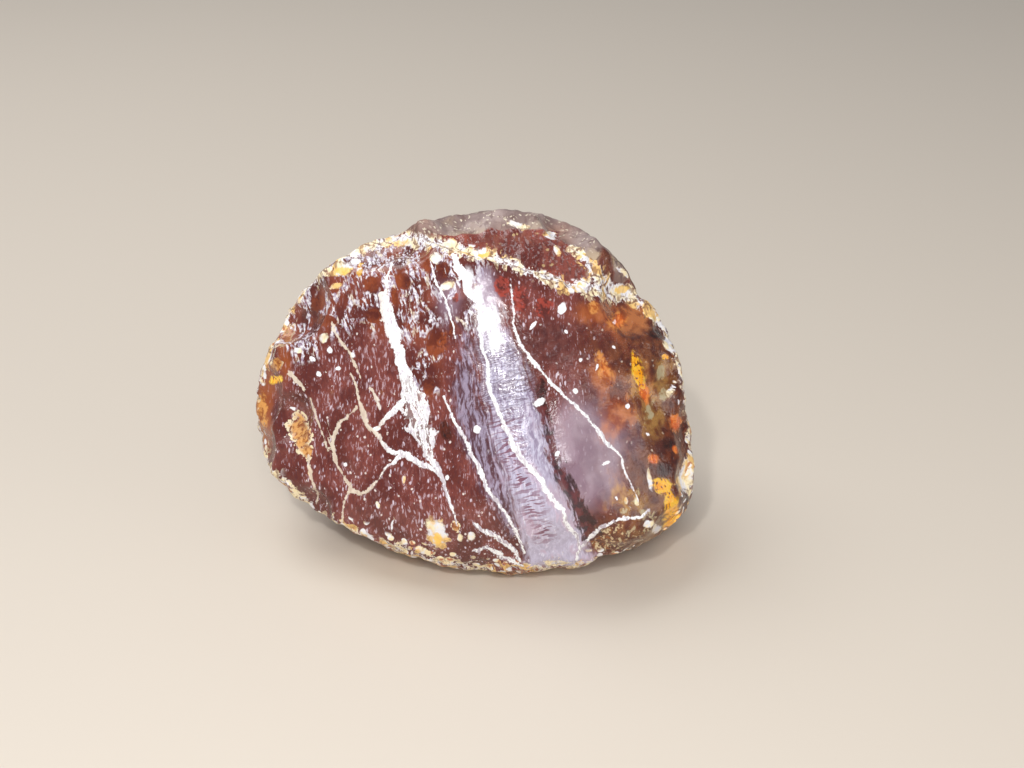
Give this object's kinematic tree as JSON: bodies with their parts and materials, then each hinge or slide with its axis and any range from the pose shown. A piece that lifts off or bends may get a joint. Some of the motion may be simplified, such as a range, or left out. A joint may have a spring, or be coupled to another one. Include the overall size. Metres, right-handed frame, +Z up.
{
  "type": "raw amber",
  "caption": "Rough, unpolished lump of raw amber resin with a glossy broken face, a chipped rim and a weathered back, resting on a small flat spot.",
  "frame": {"origin": "near the middle of the small flat spot that the lump rests on, at table height", "axes": "+Z up, -Y out of the front, where the broken glossy face is, +X to the right as seen from the front, along the lump's longest side"},
  "size_m": [0.044, 0.0282, 0.0323],
  "materials": {
    "amber": "glossy, dark red-brown, clear at the thin edges"
  },
  "bodies": {
    "root": {"amber_lump": "amber"}
  },
  "joints": []
}
